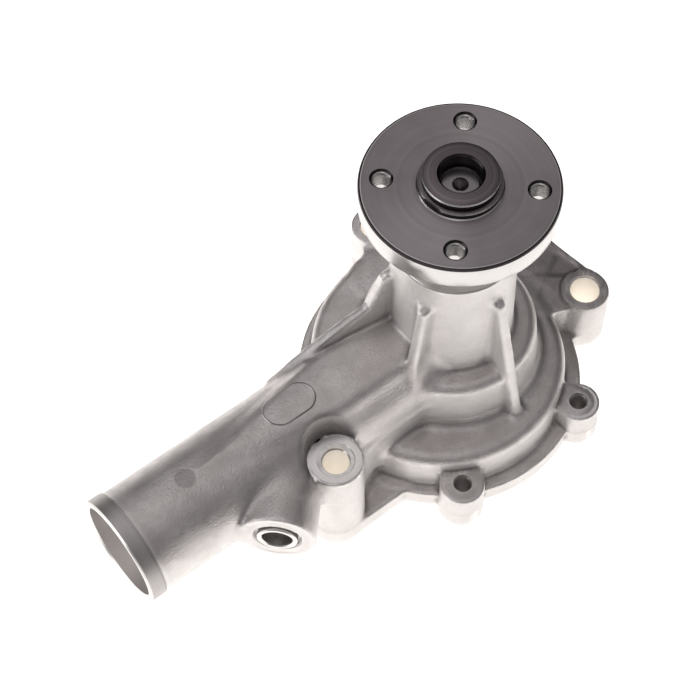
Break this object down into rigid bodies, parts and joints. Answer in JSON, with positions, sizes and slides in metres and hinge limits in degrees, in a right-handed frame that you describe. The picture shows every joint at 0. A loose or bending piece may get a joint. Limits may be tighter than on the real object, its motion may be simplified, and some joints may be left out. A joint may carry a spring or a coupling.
{
  "type": "engine coolant pump",
  "caption": "Cast engine coolant pump with a spiral casing, side inlet pipe, bearing neck and a steel pulley flange on its shaft.",
  "frame": {"origin": "on the shaft axis, in the plane of the mounting face", "axes": "+Z along the shaft towards the pulley flange; the inlet pipe runs along -X"},
  "size_m": [0.2447, 0.1399, 0.153],
  "materials": {
    "cast_aluminium": "as-cast, machined faces",
    "turned_steel": "turned, dark face and bright rim",
    "ground_steel": "ground",
    "bearing_steel": "polished",
    "pressed_steel": "pressed stainless",
    "spring_steel": "drawn wire",
    "rubber": "moulded",
    "carbon": "lapped carbon",
    "ceramic": "lapped ceramic",
    "nylon": "moulded",
    "cast_iron": "as-cast"
  },
  "bodies": {
    "housing": {"pump_housing": "cast_aluminium", "bearing_outer_race": "bearing_steel", "bearing_front_seal": "rubber", "bearing_rear_seal": "rubber", "seal_case": "pressed_steel", "seal_bellows": "rubber", "seal_spring": "spring_steel", "seal_spring_holder": "pressed_steel", "seal_drive_ring": "pressed_steel", "seal_carbon_ring": "carbon"},
    "rotor": {"drive_flange": "turned_steel", "pump_shaft": "ground_steel", "slinger": "rubber", "impeller": "cast_iron", "seal_seat_ring": "ceramic", "seal_seat_cup": "rubber"},
    "front_row": {"front_balls": "bearing_steel", "front_cage": "nylon"},
    "rear_row": {"rear_balls": "bearing_steel", "rear_cage": "nylon"}
  },
  "joints": [
    {"name": "shaft_spin", "type": "hinge", "parent": "housing", "child": "rotor", "pos_m": [0, 0, 0.084], "axis": [0, 0, 1], "continuous": true},
    {"name": "front_row_spin", "type": "hinge", "parent": "housing", "child": "front_row", "pos_m": [0, 0, 0.097], "axis": [0, 0, 1], "continuous": true},
    {"name": "rear_row_spin", "type": "hinge", "parent": "housing", "child": "rear_row", "pos_m": [0, 0, 0.071], "axis": [0, 0, 1], "continuous": true}
  ],
  "couplings": [
    {"joint": "front_row_spin", "follows": "shaft_spin", "ratio": 0.3445},
    {"joint": "rear_row_spin", "follows": "shaft_spin", "ratio": 0.3445}
  ]
}
